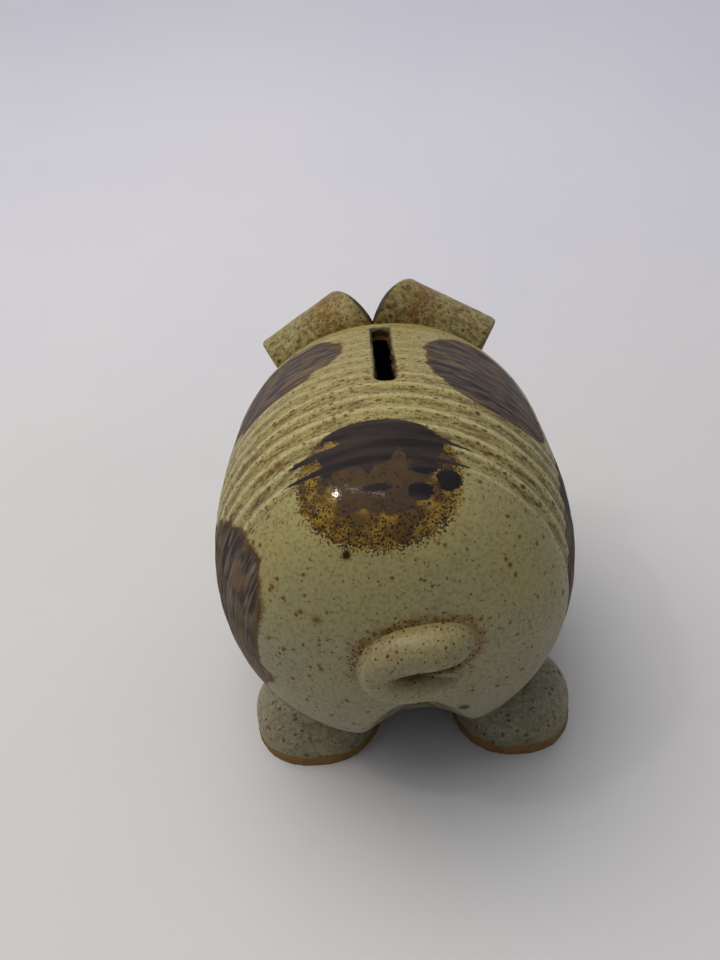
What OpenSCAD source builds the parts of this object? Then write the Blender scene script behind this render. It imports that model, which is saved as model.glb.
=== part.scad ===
// Thrown stoneware pig bank: a closed pot lying on its side, with luted-on snout, ears, eyes,
// feet and tail, a coin slot in the back and a cork bung in the belly.
// The snout points to -Y, the tail to +Y, the back is up, and the floor is z = 0.

/* [Body] */
// Radius of the pot at its widest ring
body_r = 54; // [52:0.5:56]
// Length from the widest ring to the rear end
rear_len = 90.5; // [88:0.5:93]
// Length from the widest ring to where the front taper would close
front_len = 67.5; // [66:0.5:69]
// Length from the widest ring to the flat end behind the snout
nose_len = 60; // [59:0.5:61]
// Thickness of the thrown wall
wall = 4.5; // [4:0.5:5]
// Height of the pot's axis above the floor
axis_z = 60; // [59:0.5:61]

/* [Coin slot] */
// Width of the slot
slot_w = 5.7; // [5:0.1:6.5]
// Place of the end nearer the ears
slot_y_front = -1; // [-3:0.5:1]
// Place of the end nearer the tail
slot_y_rear = 39; // [37:0.5:41]
// Sideways place of the slot
slot_x = -0.8; // [-1.5:0.1:0]
// How far the hand-cut slot is out of line, in degrees
slot_skew = 1.5; // [0:0.5:2]

/* [Hams] */
// Half width of the dent pressed between the hams, under the tail
dent_w = 16; // [14:0.5:17]
// Half length of the dent's hollow, down the rump
dent_len = 38; // [36:0.5:40]
// Half depth of the dent's hollow
dent_deep = 14; // [13:0.5:15]
// Sideways place of the dent
dent_x = -4; // [-5:0.5:-3]

/* [Ears] */
// Thickness of the slab
ear_t = 4; // [3.5:0.25:4.5]
// Outer radius of the curl at the inner end
ear_r_inner = 15; // [14:0.5:16]
// Outer radius of the curl at the outer end
ear_r_outer = 13; // [12:0.5:14]
// Outward and downward tilt of the curl, in degrees
ear_tilt = 27; // [24:1:32]
// Place of the curl's middle, forward of the widest ring
ear_y = -23; // [-25:0.5:-21]
// Length of the curl along the ridge of the left ear
ear_len_left = 33; // [31:0.5:35]
// Length of the curl along the ridge of the right ear
ear_len_right = 35; // [33:0.5:37]

/* [Feet] */
// Half width of a foot at its widest
foot_r = 20; // [19:0.5:21]
// Height of the widest ring of a foot above the floor
foot_belly_z = 5; // [4:0.5:6]
// Height from there to the top of a rear foot's dome
foot_dome_rear = 15.5; // [15:0.5:16]
// Height from there to the top of a front foot's dome
foot_dome_front = 22; // [21:0.5:24]
// Distance of a front foot's centre from the middle
foot_x_front = 28; // [27:0.5:29]
// Distance of a rear foot's centre from the middle, on the left
foot_x_rear_left = 28.5; // [28:0.5:29]
// Distance of a rear foot's centre from the middle, on the right
foot_x_rear_right = 32.5; // [32:0.5:33]
// Place of the rear feet
foot_y_rear = 50; // [48:0.5:52]
// Place of the front feet
foot_y_front = -26; // [-27:0.5:-25]

/* [Snout and eyes] */
// Radius of the snout's flat face
snout_r = 19.5; // [18.5:0.5:20.5]
// Radius of the snout where it meets the head
snout_back_r = 17.5; // [16.5:0.5:18]
// Length of the snout
snout_len = 17; // [16:0.5:18]
// Radius of a nostril
nostril_r = 3; // [2.5:0.25:3.5]
// Radius of an eye pellet
eye_r = 4.5; // [4:0.25:5]

/* [Tail] */
// Radius of the clay rope
tail_r = 5; // [4.5:0.25:5.5]
// Radius of the turn at the tail's left side
tail_turn = 5.5; // [5:0.25:6]

/* [Stopper] */
// Radius of the cork at its outer end
cork_r_out = 13.5; // [13:0.25:14]
// Radius of the cork at its inner end
cork_r_in = 12; // [11.5:0.25:12.5]
// Length of the cork
cork_len = 18; // [16:0.5:20]
// How far the cork stands below the belly
cork_proud = 3.5; // [3:0.25:4]
// Place of the cork, measured from the widest ring
cork_y = 10; // [8:0.5:12]
// Gap all round the cork in its hole
cork_gap = 0.08; // [0.05:0.01:0.1]

/* [Hidden] */
$fn = 72;

// Exponents of the pot's outline, which is a superellipse on each side of the widest ring
rear_p = 3.32;
rear_q = 3;
front_p = 1.75;
front_q = 1.25;
rings = 26;

// The box of the whole pig is centred on the origin, so the widest ring lies behind it
tail_y = rear_len + 1.5;
snout_y = nose_len - 4 + snout_len;
shift_y = (snout_y - (tail_y + tail_r)) / 2;

glaze = [0.66, 0.64, 0.50];
iron = [0.36, 0.24, 0.17];
clay = [0.62, 0.47, 0.31];
cork = [0.72, 0.53, 0.35];

// Moves from the middle of the widest ring to the pig's own frame
module placed() translate([0, shift_y, axis_z]) children();

// One quarter of the outline: radius and length at each ring, for angles from t0 to t1
function arc_points(r, len, p, q, t0, t1, side) = [
    for (i = [0:rings])
        let (t = t0 + (t1 - t0) * i / rings)
        [r * pow(sin(t), 2 / q), side * len * pow(cos(t), 2 / p)]
];

// Angle at which the front outline reaches the flat nose
function nose_angle(nose, len) = acos(pow(nose / len, front_p / 2));

// Outline of the pot, made smaller all round by inset
function pot_outline(inset) =
    let (
        front = arc_points(body_r - inset, front_len - inset, front_p, front_q,
            nose_angle(nose_len - inset, front_len - inset), 89.9, -1),
        rear = arc_points(body_r - inset, rear_len - inset, rear_p, rear_q, 90, 0, 1)
    )
    concat([[0, inset - nose_len]], front, rear);

module revolved_pot(inset) {
    rotate([-90, 0, 0])
        rotate_extrude()
            polygon(pot_outline(inset));
}

// Hollow pressed into the rump between the hams, made larger all round by grow
module ham_dent(grow) {
    translate([dent_x, rear_len - 5.5, -36.5])
        rotate([53, 0, 0])
            scale([dent_w + grow, dent_len + grow, dent_deep + grow])
                sphere(r = 1);
}

// Outside of the pot as one solid, which the luted-on pieces are shaped against
module pot_form() {
    difference() {
        revolved_pot(0);
        ham_dent(0);
    }
}

module slot_cutter() {
    half_w = slot_w / 2;
    slot_len = slot_y_rear - slot_y_front;
    cut_h = 2 * wall + 8;
    translate([slot_x, slot_y_front, body_r - cut_h + 5])
        rotate([0, 0, slot_skew]) {
            translate([-half_w, 0, 0])
                cube([slot_w, slot_len - half_w, cut_h]);
            translate([0, slot_len - half_w, 0])
                cylinder(r = half_w, h = cut_h);
        }
}

module cork_cone(gap) {
    translate([0, cork_y, -body_r - cork_proud])
        cylinder(h = cork_len, r1 = cork_r_out + gap, r2 = cork_r_in + gap);
}

module body() {
    color(glaze) placed()
        difference() {
            pot_form();
            difference() {
                revolved_pot(wall);
                ham_dent(wall);
            }
            slot_cutter();
            cork_cone(cork_gap);
        }
}

module snout() {
    edge = 2.5;
    color(glaze) placed()
        difference() {
            translate([0, -snout_y, 0])
                rotate([-90, 0, 0])
                    rotate_extrude()
                        polygon([
                            [0, 0], [snout_r - edge, 0], [snout_r - edge / 3, edge / 3], [snout_r, edge],
                            [snout_back_r, snout_len], [0, snout_len]
                        ]);
            pot_form();
            for (side = [-1, 1])
                translate([side * 7, -snout_y - 1, 1])
                    rotate([-90, 0, 0])
                        cylinder(r = nostril_r, h = 9);
        }
}

// Slab curled over like half a tapered tube, open to the front and lying on the head.
// It is drawn on the left (+X); its ridge starts at ridge_x and ridge_z above the ring.
module ear(len, ridge_x, ridge_z) {
    spare = 12;
    back_angle = 65;
    curl = 185;
    inner_yaw = 19;
    outer_yaw = 13;
    slope = (ear_r_outer - ear_r_inner) / len;
    r_start = ear_r_inner - slope * spare;
    r_end = ear_r_outer + slope * spare;
    difference() {
        translate([ridge_x, ear_y, ridge_z])
            rotate([0, ear_tilt, 0])
                translate([0, 0, -ear_r_inner])
                    difference() {
                        rotate([0, 90, 0])
                            rotate([0, 0, back_angle])
                                rotate_extrude(angle = curl)
                                    polygon([
                                        [r_start - ear_t, -spare], [r_start, -spare],
                                        [r_end, len + spare], [r_end - ear_t, len + spare]
                                    ]);
                        rotate([0, 0, inner_yaw])
                            translate([-60, -60, -60])
                                cube([60, 120, 120]);
                        translate([len, 0, 0])
                            rotate([0, 0, outer_yaw])
                                translate([0, -60, -60])
                                    cube([60, 120, 120]);
                    }
        pot_form();
    }
}

module ear_left() color(glaze) placed() ear(ear_len_left, 12.4, 61);

module ear_right() color(glaze) placed() mirror([1, 0, 0]) ear(ear_len_right, 10.8, 63);

// Pellet pressed on the side of the head, with a pricked pupil
module eye(side) {
    color(iron) placed()
        difference() {
            translate([side * 17, -48, 24])
                sphere(r = eye_r);
            pot_form();
            translate([side * 18, -49.5, 25.5])
                rotate([45, side * 30, 0])
                    cylinder(r = 1, h = 6);
        }
}

module eye_left() eye(1);

module eye_right() eye(-1);

// Clay rope: a thick strand across the rump, a turn on the left and a strand back
module tail() {
    right_top = [-9, tail_y, 7.5];
    left_top = [5.5, tail_y, 3];
    left_low = [5, tail_y - 1, -6];
    right_low = [-10, tail_y - 4, -8];
    color(glaze) placed()
        difference() {
            union() {
                strand(right_top, left_top, tail_r);
                strand(left_top, left_low, tail_r - 0.4);
                strand(left_low, right_low, tail_r - 1.2);
            }
            pot_form();
        }
}

// Round-ended rope from a to b, as one turned solid
module strand(a, b, r) {
    d = b - a;
    len = norm(d);
    translate(a)
        rotate([0, acos(d[2] / len), atan2(d[1], d[0])])
            rotate_extrude()
                intersection() {
                    union() {
                        circle(r = r);
                        square([r, len]);
                        translate([0, len]) circle(r = r);
                    }
                    translate([0, -r]) square([r, len + 2 * r]);
                }
}

// Flattened ball of clay under each corner, with a flat unglazed base.
// half_w is its half width across the pig; foot_r is its half length along the pig.
module foot(x, y, half_w, dome) {
    color(clay)
        difference() {
            translate([x, y + shift_y, foot_belly_z])
                scale([half_w, foot_r, dome])
                    sphere(r = 1);
            translate([x - 30, y + shift_y - 30, -30])
                cube([60, 60, 30]);
            placed() pot_form();
        }
}

module foot_front_left() foot(foot_x_front, foot_y_front, foot_r, foot_dome_front);

module foot_front_right() foot(-foot_x_front, foot_y_front, foot_r, foot_dome_front);

module foot_rear_left() foot(foot_x_rear_left, foot_y_rear, foot_r + 1, foot_dome_rear);

module foot_rear_right() foot(-foot_x_rear_right, foot_y_rear, foot_r - 1, foot_dome_rear);

module stopper() color(cork) placed() cork_cone(0);

body();
snout();
ear_left();
ear_right();
eye_left();
eye_right();
tail();
foot_front_left();
foot_front_right();
foot_rear_left();
foot_rear_right();
stopper();
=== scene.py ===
# %% [markdown]
# # A stoneware pig bank
#
# A studio potter makes a pig bank from one thrown pot. The pot is closed on the wheel, laid on its
# side and dressed with small pieces of clay: a snout, two curled ears, two eyes, four feet and a
# tail. A slot is cut in its back and a cork plugs the belly. This lesson builds each of those pieces
# as the potter does, then glazes them with an oatmeal glaze and splashes of iron.
#
# The first cell loads the measured model of the bank. Every size and place below is worked out from
# it, and the new pieces take the place of its plain ones.

# %% Load the measured model
import math

import bpy
import numpy as np
from mathutils import Matrix, Vector, noise


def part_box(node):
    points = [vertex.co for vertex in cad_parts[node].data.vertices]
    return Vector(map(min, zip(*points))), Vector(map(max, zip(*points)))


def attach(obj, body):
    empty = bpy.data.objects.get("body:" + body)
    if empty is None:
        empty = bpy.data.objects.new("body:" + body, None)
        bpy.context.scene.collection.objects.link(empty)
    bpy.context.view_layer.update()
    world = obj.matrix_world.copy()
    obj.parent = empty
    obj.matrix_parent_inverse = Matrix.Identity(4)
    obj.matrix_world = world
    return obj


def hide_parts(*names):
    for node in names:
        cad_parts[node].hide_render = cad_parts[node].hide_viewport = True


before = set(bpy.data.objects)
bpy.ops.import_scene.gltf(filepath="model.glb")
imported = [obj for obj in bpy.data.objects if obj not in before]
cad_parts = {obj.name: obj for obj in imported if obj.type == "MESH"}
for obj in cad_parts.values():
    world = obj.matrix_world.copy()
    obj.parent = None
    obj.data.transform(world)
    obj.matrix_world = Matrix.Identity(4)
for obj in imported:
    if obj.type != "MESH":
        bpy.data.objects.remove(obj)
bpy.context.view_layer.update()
bpy.ops.object.select_all(action="DESELECT")
print("nodes:", sorted(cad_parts))

# %% [markdown]
# ## The pot's own measures
#
# A thrown pot is a turned shape, so a point on it is best given the way a potter thinks of it: how
# far along the pot it is, how far it is turned from the top, and how far it is from the axis. The
# widest ring is the natural zero. The pig looks towards -Y and its tail points to +Y.

# %% Measures of the pot
MM = 0.001
body_low, body_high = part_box("body")
POT_R = (body_high.x - body_low.x) / 2
AXIS_Z = body_high.z - POT_R
REAR_LEN = 90.5 * MM
FRONT_LEN = 67.5 * MM
RING_Y = body_high.y - REAR_LEN
NOSE_LEN = RING_Y - body_low.y
WALL = 4.5 * MM
REAR_P, REAR_Q = 3.32, 3.0
FRONT_P, FRONT_Q = 1.75, 1.25
print(f"pot {2 * POT_R / MM:.0f} mm wide, axis {AXIS_Z / MM:.0f} mm up, ring at y {RING_Y / MM:.0f} mm")


def on_pot(side, along, up):
    """A point measured from the middle of the widest ring, in millimetres, in the model's frame."""
    return Vector((side * MM, RING_Y + along * MM, AXIS_Z + up * MM))


# %% [markdown]
# ## Small tools
#
# Operators act on whatever is selected, so each step starts by choosing exactly one piece. Shaping
# by hand is done with all of a piece's points at once, as rows of x, y and z.

# %% Choose a piece, read its points, apply a modifier
def choose(*pieces):
    bpy.ops.object.select_all(action="DESELECT")
    for piece in pieces:
        piece.select_set(True)
    bpy.context.view_layer.objects.active = pieces[0]


def named(name):
    piece = bpy.context.object
    piece.name = name
    piece.data.name = name
    return piece


def rows_of(parts, value):
    """One row of x, y and z for each of a mesh's corners or faces."""
    flat = np.empty(len(parts) * 3)
    parts.foreach_get(value, flat)
    return flat.reshape(-1, 3)


def points_of(piece):
    return rows_of(piece.data.vertices, "co")


def normals_of(piece):
    return rows_of(piece.data.vertices, "normal")


def move_points(piece, points):
    piece.data.vertices.foreach_set("co", points.ravel())
    piece.data.update()


def apply_modifier(piece, kind, **settings):
    choose(piece)
    modifier = piece.modifiers.new(kind.title(), kind)
    for setting, value in settings.items():
        setattr(modifier, setting, value)
    bpy.ops.object.modifier_apply(modifier=modifier.name)


def cut_away(piece, cutter, keep_cutter=False):
    apply_modifier(piece, "BOOLEAN", operation="DIFFERENCE", solver="MANIFOLD", object=cutter)
    if not keep_cutter:
        bpy.data.objects.remove(cutter)


def smooth_shade(piece, sharpest):
    """Smooths the shading except over edges sharper than an angle in degrees."""
    choose(piece)
    bpy.ops.object.shade_smooth_by_angle(angle=math.radians(sharpest))
    print(f"{piece.name}: {len(piece.data.polygons)} faces")


# %% Settle a piece, and shape it in edit mode
def settle(piece):
    """Puts a piece's place, turn and scale into its mesh."""
    choose(piece)
    bpy.ops.object.transform_apply(location=True, rotation=True, scale=True)


def face_centres(piece):
    return rows_of(piece.data.polygons, "center")


def edit_all(piece):
    """Opens edit mode with the whole piece selected."""
    choose(piece)
    bpy.ops.object.mode_set(mode="EDIT")
    bpy.ops.mesh.select_all(action="SELECT")


def pick(piece, kind, wanted):
    """Opens edit mode with only those faces, edges or corners selected for which wanted is true."""
    edit_all(piece)
    bpy.ops.mesh.select_mode(type=kind)
    bpy.ops.mesh.select_all(action="DESELECT")
    bpy.ops.object.mode_set(mode="OBJECT")
    parts = {"FACE": piece.data.polygons, "EDGE": piece.data.edges, "VERT": piece.data.vertices}
    parts[kind].foreach_set("select", wanted)
    bpy.ops.object.mode_set(mode="EDIT")


def close_edit(face_out=False):
    """Leaves edit mode; face_out first turns every face of the piece outwards."""
    if face_out:
        bpy.ops.mesh.select_all(action="SELECT")
        bpy.ops.mesh.normals_make_consistent(inside=False)
    bpy.ops.object.mode_set(mode="OBJECT")


# %% Arithmetic of soft steps and lumps
def smoothstep(low, high, value):
    """0 below low and 1 above high, with a soft rise between; a high below low turns it round."""
    share = np.clip((value - low) / (high - low), 0, 1)
    return share * share * (3 - 2 * share)


def lumps(points, size, seed):
    """Smooth lumpiness between 0 and 1 at each point; size is the width of a lump in metres."""
    shift = Vector((seed * 7.3, seed * 3.1, seed * 5.7))
    raw = np.array([noise.noise(Vector(p) / size + shift) for p in points])
    return np.clip(0.5 + 0.5 * raw, 0, 1)


# %% [markdown]
# ## The outline of the pot
#
# The side of the pot swells evenly to the widest ring, stays full behind it and closes over a broad
# rump. Each half is a superellipse: a circle's formula with its exponents changed. Walking along it
# in even steps gives the points that the wheel would turn.

# %% Outline of the pot
def pot_outline(inset, step):
    """(along, radius) of the pot's outline in metres, made smaller by inset, in steps of about step."""
    def half(length, p, q, first, last):
        angle = np.linspace(first, last, 4000)
        radius = (POT_R - inset) * np.sin(angle) ** (2 / q)
        along = length * np.cos(angle) ** (2 / p)
        return along, radius

    front_len, nose_len = FRONT_LEN - inset, NOSE_LEN - inset
    nose_angle = math.acos((nose_len / front_len) ** (FRONT_P / 2))
    front_along, front_radius = half(front_len, FRONT_P, FRONT_Q, nose_angle, math.pi / 2)
    rear_along, rear_radius = half(REAR_LEN - inset, REAR_P, REAR_Q, math.pi / 2, 0)
    along = np.concatenate([[-nose_len], -front_along, rear_along])
    radius = np.concatenate([[0], front_radius, rear_radius])
    radius[-1] = 0
    walked = np.concatenate([[0], np.cumsum(np.hypot(np.diff(along), np.diff(radius)))])
    stops = np.linspace(0, walked[-1], max(8, round(walked[-1] / step)) + 1)
    return np.interp(stops, walked, along), np.interp(stops, walked, radius)


SKIN_STEP, COARSE_STEP = 0.8 * MM, 3 * MM
SKIN_TURNS, COARSE_TURNS = 240, 96
outline = pot_outline(0, SKIN_STEP)
print(len(outline[0]), "points from nose to rump")


# %% [markdown]
# ## Throwing the pot
#
# A wheel turns a profile into a pot, and Blender's Spin does the same. The profile is drawn by
# extruding one point along the outline, and is then spun once round the pot's long axis. Spin leaves
# doubled points at the seam and the poles, so they are merged and the outside is made to face out.

# %% Spin a pot from its outline
def spin_pot(name, inset, step, turns):
    along, radius = pot_outline(inset, step)
    bpy.ops.mesh.primitive_plane_add(size=1 * MM)
    piece = named(name)
    edit_all(piece)
    bpy.ops.mesh.merge(type="CENTER")
    bpy.ops.transform.translate(value=(0, RING_Y + along[0], AXIS_Z + radius[0]))
    for forward, out in zip(np.diff(along), np.diff(radius)):
        bpy.ops.mesh.extrude_vertices_move(TRANSFORM_OT_translate={"value": (0, forward, out)})
    bpy.ops.mesh.select_all(action="SELECT")
    bpy.ops.mesh.spin(steps=turns, angle=math.tau, center=(0, 0, AXIS_Z), axis=(0, 1, 0))
    bpy.ops.mesh.select_all(action="SELECT")
    bpy.ops.mesh.remove_doubles(threshold=0.02 * MM)
    close_edit(face_out=True)
    return piece


CORE_INSET = 2 * MM  # a luted-on piece ends this deep in the wall
pot = spin_pot("body_thrown_pot", 0, SKIN_STEP, SKIN_TURNS)
hollow = spin_pot("hollow_of_pot", WALL, COARSE_STEP, COARSE_TURNS)
core = spin_pot("core_of_pot", CORE_INSET, COARSE_STEP, COARSE_TURNS)
print("pot:", len(pot.data.polygons), "faces")

# %% [markdown]
# The slot's edge and the splash of iron on the rump need finer detail than the rest, so the faces
# there are divided once more before any shaping.

# %% Finer faces where the detail is
SLOT_X, SLOT_FRONT, SLOT_REAR, SLOT_W, SLOT_SKEW = -0.9, -1, 39, 5.3, math.radians(1.5)  # in mm


def pot_measures(points):
    """Side, along and up in millimetres from the widest ring, and the turn from the top in radians."""
    side = points[:, 0] / MM
    along = (points[:, 1] - RING_Y) / MM
    up = (points[:, 2] - AXIS_Z) / MM
    return side, along, up, np.arctan2(side, up)


side, along, up, turn = pot_measures(face_centres(pot))
near_slot = (np.abs(side) < 8) & (along > -7) & (along < 45) & (up > 0)
near_splash = (np.abs(side) < 26) & (along > 53) & (up > 22)
pick(pot, "FACE", near_slot | near_splash)
bpy.ops.mesh.subdivide(number_cuts=1)
close_edit()
print("pot with finer places:", len(pot.data.polygons), "faces")

# %% [markdown]
# ## Throwing rings
#
# A potter's fingertips leave a spiral of shallow grooves with thin crests between them. The crests
# stay at the pot's full size and the grooves go in, so the pot keeps its measure. The grooves are
# 5 to 6 mm apart, closer towards the rump, and fade out where the rump was smoothed with a rib. The
# same count of rings is used again later to put the right colour on crests and grooves. Inside the
# tail's loop a fingertip pressed the rump in a little.

# %% Throwing rings
LAST_EVEN_RING = 53.4
RING_PITCH = 5.8


def ring_count(along, turn):
    """Which ring a place is on, as a number that grows by one from crest to crest."""
    behind = along - LAST_EVEN_RING
    even = behind / RING_PITCH
    closing = behind / 6.2 + 0.0021 * behind**2
    waver = 0.07 * np.sin(2 * turn + 0.6) + 0.05 * np.sin(5 * turn + 1.9)
    return np.where(behind > 0, closing, even) + waver + turn / math.tau


def ring_depth(along, turn):
    """0 on a crest and 1 in the bottom of a groove, with thin crests."""
    count = ring_count(along, turn)
    off = np.sqrt((count - np.round(count)) ** 2 + 0.05**2) - 0.05
    return 1 - (1 - np.clip(2.15 * off, 0, 1)) ** 2


def ring_strength(along, turn):
    """How deep the grooves are, as a share of the deepest: less near the slot and along the top."""
    fade_out = 1 - smoothstep(68, 73, along)
    towards_slot = 0.3 + 0.7 * smoothstep(16, 50, along)
    flank = 0.55 + 0.45 * np.abs(np.sin(turn))
    return fade_out * towards_slot * flank


def from_tail_loop(side, up, middle_up):
    """How far a place is from the middle of the tail's loop; 1 is at the rope."""
    return np.hypot((side + 6.5) / 9.5, (up - middle_up) / 3.0)


GROOVE = 0.9 * MM
LOOP_PRESS = 3.2 * MM
points = points_of(pot)
side, along, up, turn = pot_measures(points)
uneven = 0.55 + 0.6 * lumps(points, 16 * MM, 1)
press = GROOVE * ring_strength(along, turn) * ring_depth(along, turn) * uneven
press += 0.45 * MM * lumps(points, 30 * MM, 2) + 0.12 * MM * lumps(points, 7 * MM, 3)
press += LOOP_PRESS * (1 - smoothstep(0.45, 1.1, from_tail_loop(side, up, -1.0))) * (along > 80)
move_points(pot, points - normals_of(pot) * press[:, None])
print(f"grooves up to {press.max() / MM:.2f} mm deep")

# %% [markdown]
# ## The hams
#
# While the clay was soft the potter pushed a thumb up under the tail, which parted the rump into two
# hams. The dent is a shallow bowl whose rim rolls over softly. Each point is moved inwards to the
# greater of its own depth and the bowl's depth, and a smooth maximum makes the rim round.

# %% Press the dent between the hams
DENT_CENTRE = on_pot(-4, REAR_LEN / MM - 5.5, -36.5)
DENT_STEEP = math.radians(47)
DENT_IN = Vector((0, -math.sin(DENT_STEEP), math.cos(DENT_STEEP)))
DENT_ALONG = Vector((0, math.cos(DENT_STEEP), math.sin(DENT_STEEP)))
DENT_HALF_WIDTH, DENT_HALF_LENGTH, DENT_DEPTH = 17 * MM, 39 * MM, 14.5 * MM
DENT_SOFTNESS = 3.5 * MM


def dent_measures(points):
    """How deep points lie under the dent's mouth, how far across and down it, and the bowl's depth."""
    away = points - np.array(DENT_CENTRE)
    across = away[:, 0] / DENT_HALF_WIDTH
    down = away @ np.array(DENT_ALONG) / DENT_HALF_LENGTH
    return away @ np.array(DENT_IN), across, down, DENT_DEPTH * (1 - across**2 - down**2)


def press_dent(piece, grow):
    """Pushes the dent into a piece; grow moves the dent's surface inwards, in metres."""
    points = points_of(piece)
    deep, across, down, bowl = dent_measures(points)
    bowl = bowl + grow
    pushed = (deep + bowl + np.sqrt((deep - bowl) ** 2 + DENT_SOFTNESS**2)) / 2
    near = (np.abs(across) < 2) & (np.abs(down) < 1.6) & (deep < 30 * MM)
    push = np.where(near, pushed - deep, 0)
    push *= 1 - smoothstep(12 * MM, 22 * MM, deep)
    move_points(piece, points + push[:, None] * np.array(DENT_IN))
    return push.max()


deepest = press_dent(pot, 0)
press_dent(hollow, WALL)
press_dent(core, CORE_INSET + 0.2 * MM)
print(f"dent pressed {deepest / MM:.1f} mm")

# %% [markdown]
# ## The coin slot and the cork's hole
#
# The slot was cut with a knife in leather-hard clay and its lip was rubbed round with a wet finger.
# The lip is shaped first, by letting the surface fall away round the slot, and then a cutter with
# slightly wavy sides is taken away. The cork's hole in the belly is made in the same way.

# %% The cork's measures and the distance from the slot
CORK_LOW, CORK_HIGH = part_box("stopper")
CORK_R = (CORK_HIGH.x - CORK_LOW.x) / 2
CORK_Y = (CORK_LOW.y + CORK_HIGH.y) / 2
CORK_TAPER, CORK_GAP = 1.5 * MM, 0.08 * MM
CORK_CONE = {
    "vertices": 96, "depth": CORK_HIGH.z - CORK_LOW.z,
    "location": (0, CORK_Y, (CORK_LOW.z + CORK_HIGH.z) / 2),
}


def slot_distance(side, along):
    """Distance in millimetres outside the slot's edge, seen from above; less than 0 inside."""
    x = (side - SLOT_X) * math.cos(SLOT_SKEW) + (along - SLOT_FRONT) * math.sin(SLOT_SKEW)
    y = (along - SLOT_FRONT) * math.cos(SLOT_SKEW) - (side - SLOT_X) * math.sin(SLOT_SKEW)
    half = SLOT_W / 2
    straight = SLOT_REAR - SLOT_FRONT - half
    beside = np.where(y > straight, np.hypot(x, y - straight), np.abs(x)) - half
    return np.where(y < 0, np.hypot(np.maximum(beside, 0), y), beside)


def round_lip(distance, radius):
    """How far the surface falls at a distance from a hole with a lip of that radius."""
    inner = np.clip(1 - distance / radius, 0, 1)
    return radius * (1 - np.sqrt(1 - inner**2))


# %% Round the lips
points = points_of(pot)
side, along, up, turn = pot_measures(points)
fall = np.where(up > 0, round_lip(slot_distance(side, along), 1.0) * MM, 0)
points[:, 2] -= fall
from_cork = np.hypot(points[:, 0], points[:, 1] - CORK_Y) - CORK_R
rise = np.where(up < 0, round_lip(from_cork, 1.5 * MM), 0)
points[:, 2] += rise
move_points(pot, points)

# %% Cut the slot and the hole
SLOT_DEPTH, SLOT_VOXEL, KNIFE_WAVE = 16 * MM, 0.5 * MM, 2.2 * MM
bpy.ops.mesh.primitive_circle_add(vertices=40, radius=SLOT_W / 2 * MM, fill_type="NGON")
slot_cutter = named("slot_cutter")
pick(slot_cutter, "VERT", [corner.co.y < 0 for corner in slot_cutter.data.vertices])
bpy.ops.transform.translate(value=(0, -(SLOT_REAR - SLOT_FRONT - SLOT_W) * MM, 0))
bpy.ops.mesh.select_all(action="SELECT")
bpy.ops.mesh.extrude_region_move(TRANSFORM_OT_translate={"value": (0, 0, SLOT_DEPTH)})
close_edit(face_out=True)
slot_cutter.rotation_euler.z = SLOT_SKEW
slot_cutter.location = on_pot(SLOT_X - 1.0, SLOT_REAR - SLOT_W / 2, POT_R / MM - 13)
settle(slot_cutter)
apply_modifier(slot_cutter, "REMESH", mode="VOXEL", voxel_size=SLOT_VOXEL)
points = points_of(slot_cutter)
below_skin = smoothstep(-0.6, -3, pot_measures(points)[2] - POT_R / MM)
points[:, 0] += (lumps(points, 3.5 * MM, 4) - 0.42) * KNIFE_WAVE * below_skin
move_points(slot_cutter, points)
print("slot cutter:", len(slot_cutter.data.polygons), "faces")

hole_r = CORK_R + CORK_GAP
bpy.ops.mesh.primitive_cone_add(radius1=hole_r, radius2=hole_r - CORK_TAPER, **CORK_CONE)
hole_cutter = named("hole_cutter")
settle(hole_cutter)

for cutter in (hollow, slot_cutter, hole_cutter):
    cut_away(pot, cutter)
smooth_shade(pot, 40)

# %% [markdown]
# ## Working a lump of clay
#
# The small pieces were rolled, pinched and pressed, so none of them has a crisp edge. Each one starts
# as a primitive, is shaped, and is then worked as clay: a voxel remesh gives it an even skin, a few
# rounds of smoothing soften its edges, and a little lumpiness takes the machine look away. Last, the
# core of the pot is cut from it, so that it ends inside the wall as a luted-on piece does.

# %% Work a lump of clay and lute it on
def work_clay(piece, voxel, rounds, lump_depth, lump_size, seed):
    apply_modifier(piece, "REMESH", mode="VOXEL", voxel_size=voxel)
    apply_modifier(piece, "SMOOTH", factor=0.5, iterations=rounds)
    points = points_of(piece)
    press = lump_depth * lumps(points, lump_size, seed)
    move_points(piece, points - normals_of(piece) * press[:, None])


def lute_on(piece):
    cut_away(piece, core, keep_cutter=True)
    smooth_shade(piece, 50)


# %% [markdown]
# Where a finish has to follow a piece's shape, such as a worn edge, it is painted on the piece's
# points as a value from 0 to 1, and the finish reads it by name.

# %% Paint a value on a piece's points
def paint(piece, name, values):
    attribute = piece.data.attributes.new(name, "FLOAT", "POINT")
    values = np.broadcast_to(np.clip(values, 0, 1), len(piece.data.vertices))
    attribute.data.foreach_set("value", values.astype(np.float32))


# %% [markdown]
# ## Ears
#
# Each ear is a slab of clay, curled over a finger like half a tube and laid on the head with its open
# side forward. The tube narrows a little to its outer end, and both ends were cut at a slant. A flat
# grid is curled by its own two measures, along the ridge and round the curl, Solidify gives it the
# slab's thickness, and subdividing it rounds the rim as fingers did. Glaze runs thin off an edge, so
# the ears' ends and rims are painted as worn, and rust gathers where each ear meets the head.

# %% Curl an ear
EAR_THICK = 4.0  # this and the other measures of an ear are in millimetres
EAR_R_INNER, EAR_R_OUTER = 15.0, 13.0
EAR_TILT = math.radians(27)
EAR_ALONG = -23
CURL_FROM, CURL_TO = math.radians(65), math.radians(250)
INNER_SLANT, OUTER_SLANT = math.tan(math.radians(19)), math.tan(math.radians(13))


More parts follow.
